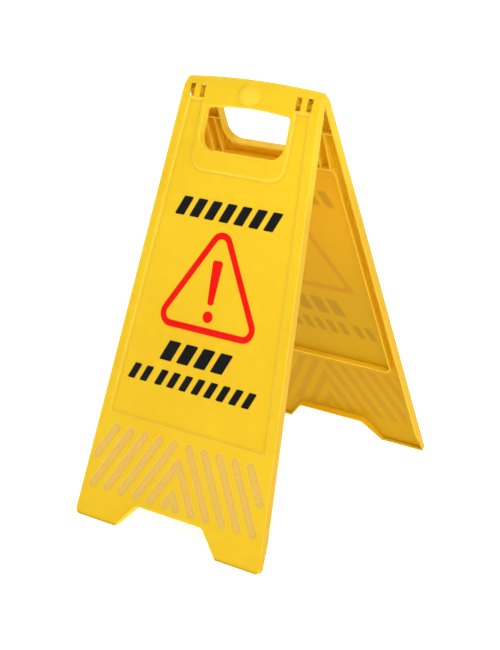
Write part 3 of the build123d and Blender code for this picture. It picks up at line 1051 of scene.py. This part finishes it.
@dataclass
class FilmSheet:
    """Flat film between two heights, cut to outlines, in panel axes."""

    low: float
    high: float

    def __post_init__(self) -> None:
        """Starts the mesh."""
        self.mesh = bmesh.new()

    def _ring(self, outline: Iterable[Point], height: float) -> list[bmesh.types.BMVert]:
        """Adds an outline's vertices at a height."""
        return [self.mesh.verts.new((x, y, height)) for x, y in outline]

    def _wall(self, lower: Sequence[bmesh.types.BMVert], upper: Sequence[bmesh.types.BMVert]) -> None:
        """Closes the side between two rings, whose vertices are in the same order."""
        for index, vertex in enumerate(lower):
            after = (index + 1) % len(lower)
            self.mesh.faces.new((vertex, lower[after], upper[after], upper[index]))

    def plate(self, outline: Sequence[Point]) -> None:
        """Adds a solid patch of film.

        Args:
            outline: Its outline, anticlockwise.
        """
        lower = self._ring(outline, self.low)
        upper = self._ring(outline, self.high)
        self._wall(lower, upper)
        self.mesh.faces.new(upper)
        self.mesh.faces.new(tuple(reversed(lower)))

    def ring(self, outer: Sequence[Point], inner: Sequence[Point]) -> None:
        """Adds a ring of film.

        Args:
            outer: Its outer outline.
            inner: Its inner outline, with as many points.
        """
        rings = [self._ring(outline, height) for outline in (outer, inner)
                 for height in (self.low, self.high)]
        outer_low, outer_high, inner_low, inner_high = rings
        self._wall(outer_low, outer_high)
        self._wall(outer_high, inner_high)
        self._wall(inner_high, inner_low)
        self._wall(inner_low, outer_low)

    def finish(self, name: str, axes: PanelAxes) -> bpy.types.Object:
        """Closes the mesh and puts it on the panel.

        Args:
            name: The piece's name.
            axes: The panel's axes.

        Returns:
            The piece.
        """
        bmesh.ops.recalc_face_normals(self.mesh, faces=self.mesh.faces)
        mesh = bpy.data.meshes.new(name)
        self.mesh.to_mesh(mesh)
        self.mesh.free()
        mesh.transform(axes.matrix)
        return link_mesh(name, mesh)


class GeometryRecipe:
    """A Geometry Nodes tree with named inputs, which is run once to give a plain mesh."""

    def __init__(self, name: str) -> None:
        """Starts the tree with a geometry input and output.

        Args:
            name: The tree's name.
        """
        self.tree = bpy.data.node_groups.new(name, "GeometryNodeTree")
        self.desk = NodeDesk(self.tree)
        self.tree.interface.new_socket("Geometry", in_out="INPUT", socket_type="NodeSocketGeometry")
        self.tree.interface.new_socket("Geometry", in_out="OUTPUT", socket_type="NodeSocketGeometry")
        self.source = self.desk.add("NodeGroupInput")
        self.target = self.desk.add("NodeGroupOutput")
        self.values: dict[str, object] = {}

    def input(self, name: str, kind: str, value: object) -> bpy.types.NodeSocket:
        """Adds a named input.

        Args:
            name: The input's name.
            kind: Its socket type.
            value: What it will be run with.

        Returns:
            The socket inside the tree.
        """
        socket = self.tree.interface.new_socket(name, in_out="INPUT", socket_type=kind)
        self.values[socket.identifier] = value
        return self.source.outputs[name]

    def close(self, geometry: bpy.types.NodeSocket, material: bpy.types.Material) -> None:
        """Ends the tree in Realize Instances and Set Material.

        Args:
            geometry: The finished geometry.
            material: What it is dressed in.
        """
        realize = self.desk.add("GeometryNodeRealizeInstances")
        dress = self.desk.add("GeometryNodeSetMaterial")
        dress.inputs["Material"].default_value = material
        self.desk.join(geometry, realize.inputs["Geometry"])
        self.desk.join(realize.outputs["Geometry"], dress.inputs["Geometry"])
        self.desk.join(dress.outputs["Geometry"], self.target.inputs["Geometry"])

    def run(self, name: str, seed_mesh: bpy.types.Mesh, placed: Matrix) -> bpy.types.Object:
        """Runs the tree on a mesh.

        Args:
            name: The piece's name.
            seed_mesh: The mesh that the tree starts from.
            placed: Takes the result to the frame's axes.

        Returns:
            The piece, as a plain mesh.
        """
        carrier = link_mesh(f"{name}_carrier", seed_mesh)
        modifier = carrier.modifiers.new("recipe", "NODES")
        modifier.node_group = self.tree
        for identifier, value in self.values.items():
            modifier[identifier] = value
        graph = bpy.context.evaluated_depsgraph_get()
        graph.update()
        mesh = bpy.data.meshes.new_from_object(carrier.evaluated_get(graph))
        carrier.modifiers.remove(modifier)
        bpy.data.objects.remove(carrier)
        mesh.transform(placed)
        return link_mesh(name, mesh)


# Sub-assemblies

@dataclass
class HazardFilms:
    """The slanted hazard bars of one panel, one piece for each band."""

    axes: PanelAxes
    finish: bpy.types.Material
    corner_steps: int = 5

    def build(self) -> None:
        """Makes every band and puts it in place of its CAD node."""
        for band in BANDS:
            self._band(band)

    def _band(self, band: HazardBand) -> None:
        """Makes one band.

        Args:
            band: The band.
        """
        node = f"{self.axes.side.body}_{band.node}"
        low, high = self.axes.extent(band.node)
        recipe = self._recipe(band, low, high)
        placed = self.axes.matrix @ Matrix.Translation((low.x, low.y, low.z))
        piece = recipe.run(f"{node}_bars", bpy.data.meshes.new("seed"), placed)
        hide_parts(node)
        settle(piece, self.axes.side)

    def _recipe(self, band: HazardBand, low: Vector, high: Vector) -> GeometryRecipe:
        """The tree that draws one bar and repeats it along the band.

        Args:
            band: The band.
            low: Its lowest corner in panel axes.
            high: Its highest corner in panel axes.

        Returns:
            The tree, with the band's lower left corner at its origin.
        """
        recipe = GeometryRecipe(f"{band.node}_recipe")
        desk = recipe.desk
        height = high.y - low.y
        width = recipe.input("Bar width", "NodeSocketFloat", band.bar_width(low, high))
        tall = recipe.input("Height", "NodeSocketFloat", height)
        lean = recipe.input("Lean", "NodeSocketFloat", height * math.tan(band.slant))
        radius = recipe.input("Corner radius", "NodeSocketFloat", band.corner_radius)
        thick = recipe.input("Thickness", "NodeSocketFloat", high.z - low.z)
        gap = recipe.input("Gap", "NodeSocketFloat", band.gap)
        count = recipe.input("Count", "NodeSocketInt", band.count)
        before = recipe.input("Bars before the break", "NodeSocketInt",
                              band.bars_before_break or band.count)
        extra = recipe.input("Break", "NodeSocketFloat", band.break_extra)
        bar = self._bar(desk, width, tall, lean, radius, thick)
        line = desk.add("GeometryNodeMeshLine")
        desk.join(count, line.inputs["Count"])
        line.inputs["Offset"].default_value = (0.0, 0.0, 0.0)
        index = desk.add("GeometryNodeInputIndex").outputs[0]
        step = desk.math("MULTIPLY", index, desk.math("ADD", width, gap))
        late = desk.math("GREATER_THAN", desk.math("ADD", index, 0.5), before)
        start = desk.math("ADD", step, desk.math("MULTIPLY", late, extra))
        middle_x = desk.math("ADD", start, desk.math("MULTIPLY", desk.math("ADD", width, lean), 0.5))
        spread = desk.add("GeometryNodeSetPosition")
        desk.join(line.outputs["Mesh"], spread.inputs["Geometry"])
        desk.join(desk.combine(middle_x, desk.math("MULTIPLY", tall, 0.5), 0.0),
                  spread.inputs["Offset"])
        repeat = desk.add("GeometryNodeInstanceOnPoints")
        desk.join(spread.outputs["Geometry"], repeat.inputs["Points"])
        desk.join(bar, repeat.inputs["Instance"])
        recipe.close(repeat.outputs["Instances"], self.finish)
        return recipe

    def _bar(self, desk: NodeDesk, width: object, tall: object, lean: object, radius: object,
             thick: object) -> bpy.types.NodeSocket:
        """Draws one closed bar about its own middle.

        Args:
            desk: The tree's desk.
            width: The bar's width.
            tall: Its height.
            lean: How far its top is shifted.
            radius: The radius of its corners.
            thick: Its thickness.

        Returns:
            The bar's mesh.
        """
        outline = desk.add("GeometryNodeCurvePrimitiveQuadrilateral", mode="PARALLELOGRAM")
        desk.join(width, outline.inputs["Width"])
        desk.join(tall, outline.inputs["Height"])
        desk.join(lean, outline.inputs["Offset"])
        corners = desk.add("GeometryNodeFilletCurve")
        corners.mode = "POLY"
        desk.join(outline.outputs["Curve"], corners.inputs["Curve"])
        desk.join(radius, corners.inputs["Radius"])
        corners.inputs["Count"].default_value = self.corner_steps
        fill = desk.add("GeometryNodeFillCurve", mode="NGONS")
        desk.join(corners.outputs["Curve"], fill.inputs["Curve"])
        raise_up = desk.add("GeometryNodeExtrudeMesh", mode="FACES")
        raise_up.inputs["Individual"].default_value = False
        desk.join(fill.outputs["Mesh"], raise_up.inputs["Mesh"])
        desk.join(thick, raise_up.inputs["Offset Scale"])
        under = desk.add("GeometryNodeFlipFaces")
        desk.join(fill.outputs["Mesh"], under.inputs["Mesh"])
        both = desk.add("GeometryNodeJoinGeometry")
        desk.join(raise_up.outputs["Mesh"], both.inputs["Geometry"])
        desk.join(under.outputs["Mesh"], both.inputs["Geometry"])
        weld = desk.add("GeometryNodeMergeByDistance")
        weld.inputs["Distance"].default_value = 0.01 * MM
        desk.join(both.outputs["Geometry"], weld.inputs["Geometry"])
        return weld.outputs["Geometry"]


@dataclass
class WarningFilms:
    """The red triangle and exclamation mark of one panel."""

    axes: PanelAxes
    finish: bpy.types.Material
    arc_steps: int = 20

    def build(self) -> None:
        """Makes both pieces and puts them in place of their CAD nodes."""
        self._triangle()
        self._mark()

    def _place(self, sheet: FilmSheet, node: str, suffix: str) -> None:
        """Dresses a finished sheet and stands it in for its CAD node.

        Args:
            sheet: The sheet.
            node: The CAD node's name without its side.
            suffix: What the piece's name adds to the node's.
        """
        piece = sheet.finish(f"{self.axes.side.body}_{node}_{suffix}", self.axes)
        piece.data.materials.append(self.finish)
        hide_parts(f"{self.axes.side.body}_{node}")
        settle(piece, self.axes.side)

    def _triangle(self) -> None:
        """Makes the ring of the triangle."""
        low, high = self.axes.extent(TRIANGLE.node)
        sheet = FilmSheet(low.z, high.z)
        outlines = []
        for inset in (0.0, TRIANGLE.stroke):
            half = TRIANGLE.side / 2 - inset * math.sqrt(3)
            foot = low.y + inset
            corners = [(-half, foot), (half, foot), (0.0, foot + half * math.sqrt(3))]
            radius = TRIANGLE.corner_radius - inset
            outlines.append(rounded_outline(corners, radius, self.arc_steps))
        sheet.ring(*outlines)
        self._place(sheet, TRIANGLE.node, "ring")

    def _mark(self) -> None:
        """Makes the exclamation mark."""
        low, high = self.axes.extent(MARK.node)
        sheet = FilmSheet(low.z, high.z)
        foot = low.y + 2 * MARK.dot_radius + MARK.dot_gap
        half_foot, half_top = MARK.foot_width / 2, MARK.top_width / 2
        corners = [(-half_foot, foot), (half_foot, foot), (half_top, high.y), (-half_top, high.y)]
        sheet.plate(rounded_outline(corners, MARK.foot_width / 2.5, self.arc_steps))
        dot = (0.0, low.y + MARK.dot_radius)
        sheet.plate(circle_outline(dot, MARK.dot_radius, 3 * self.arc_steps))
        self._place(sheet, MARK.node, "cut")


@dataclass
class PanelShell:
    """One moulded panel, which keeps its CAD shape."""

    axes: PanelAxes
    finish: MouldedPlastic

    def build(self) -> bpy.types.Material:
        """Dresses the CAD node.

        Returns:
            The panel's material.
        """
        node = frame["nodes"][f"{self.axes.side.body}_panel"]
        material = self.finish.material(self.axes)
        for slot in node.material_slots:
            slot.material = material
        LOG.info("%s: dressed", node.name)
        return material


# Studio

@dataclass(frozen=True)
class Softbox:
    """A square soft light, placed by its direction from what it lights, in degrees."""

    name: str
    azimuth: float
    elevation: float
    distance: float
    size: float
    power: float
    aim: tuple[float, float, float] = (0.0, 0.0, 0.3)


SOFTBOXES = (
    Softbox("ceiling", 0.0, 90.0, 5.0, 12.0, 225.0, (0.0, 2.0, 0.3)),
    Softbox("left_key", -40.0, 16.0, 6.0, 2.4, 8.0),
    Softbox("upper_right_key", 40.0, 46.0, 1.20, 0.6, 7.0, (0.08, -0.05, 0.5)),
    Softbox("right_strip", 85.0, 25.0, 2.4, 1.0, 2.0),
    Softbox("rear_key", 200.0, 44.0, 1.05, 0.5, 6.0, (0.0, 0.08, 0.5)),
)


@dataclass
class Studio:
    """A pale floor, soft lights and the camera."""

    focal_px: float = 1482.0
    image_height_px: float = 650.0
    azimuth: float = math.radians(34.724)
    elevation: float = math.radians(20.986)
    roll: float = math.radians(0.4125)
    distance: float = 2.0263
    target_height: float = 0.300
    pan_right: float = -0.0092
    pan_up: float = -0.0577
    floor_half: float = 40.0
    floor_shade: float = 0.93
    floor_glow: float = 0.70
    sky: float = 0.35

    def build(self) -> None:
        """Sets up everything round the sign."""
        self._floor()
        self._world()
        for box in SOFTBOXES:
            self._softbox(box)
        self._camera()

    def _floor(self) -> None:
        """Adds the pale floor."""
        half = self.floor_half
        mesh = bpy.data.meshes.new("studio_floor")
        corners = [(-half, -half, 0), (half, -half, 0), (half, half, 0), (-half, half, 0)]
        mesh.from_pydata(corners, [], [(0, 1, 2, 3)])
        floor = link_mesh("studio_floor", mesh)
        material, _, shader = new_material("pale_floor")
        shader.inputs["Base Color"].default_value = rgba((self.floor_shade,) * 3)
        shader.inputs["Emission Color"].default_value = (1.0, 1.0, 1.0, 1.0)
        shader.inputs["Emission Strength"].default_value = self.floor_glow
        shader.inputs["Roughness"].default_value = 0.9
        shader.inputs["Specular IOR Level"].default_value = 0.1
        mesh.materials.append(material)

    def _world(self) -> None:
        """Lights the scene evenly from all round."""
        world = bpy.data.worlds.new("studio")
        world.use_nodes = True
        background = world.node_tree.nodes["Background"]
        background.inputs["Color"].default_value = (1.0, 1.0, 1.0, 1.0)
        background.inputs["Strength"].default_value = self.sky
        bpy.context.scene.world = world

    def _softbox(self, box: Softbox) -> None:
        """Adds a square softbox that points at its place.

        Args:
            box: The softbox.
        """
        azimuth, elevation = math.radians(box.azimuth), math.radians(box.elevation)
        direction = Vector((math.sin(azimuth) * math.cos(elevation),
                            -math.cos(azimuth) * math.cos(elevation),
                            math.sin(elevation)))
        data = bpy.data.lights.new(box.name, "AREA")
        data.size = box.size
        data.energy = box.power
        lamp = bpy.data.objects.new(box.name, data)
        lamp.location = Vector(box.aim) + direction * box.distance
        lamp.rotation_euler = direction.to_track_quat("Z", "Y").to_euler()
        bpy.context.scene.collection.objects.link(lamp)

    def _camera(self) -> None:
        """Adds the camera at the sign's three-quarter view."""
        back = Vector((math.sin(self.azimuth) * math.cos(self.elevation),
                       -math.cos(self.azimuth) * math.cos(self.elevation),
                       math.sin(self.elevation)))
        right = Vector((0.0, 0.0, 1.0)).cross(back).normalized()
        up = back.cross(right)
        target = Vector((0.0, 0.0, self.target_height)) + right * self.pan_right + up * self.pan_up
        data = bpy.data.cameras.new("camera")
        data.sensor_width = 36.0
        data.lens = self.focal_px / self.image_height_px * data.sensor_width
        data.clip_end = 100.0
        camera = bpy.data.objects.new("camera", data)
        turned = Matrix((right, up, back)).transposed() @ Matrix.Rotation(-self.roll, 3, "Z")
        camera.matrix_world = Matrix.Translation(target + back * self.distance) @ turned.to_4x4()
        bpy.context.scene.collection.objects.link(camera)
        bpy.context.scene.camera = camera


def main() -> None:
    """Builds every sub-assembly in order."""
    logging.basicConfig(level=logging.INFO, format="%(name)s: %(message)s")
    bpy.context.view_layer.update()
    films = {ink: finish.material() for ink, finish in FILM_FINISHES.items()}
    for side in Side:
        axes = PanelAxes.from_frame(side)
        PanelShell(axes, MouldedPlastic()).build()
        HazardFilms(axes, films[Ink.BLACK]).build()
        WarningFilms(axes, films[Ink.RED]).build()
    Studio().build()
    bpy.context.scene.view_settings.view_transform = "Standard"


if __name__ == "__main__":
    main()
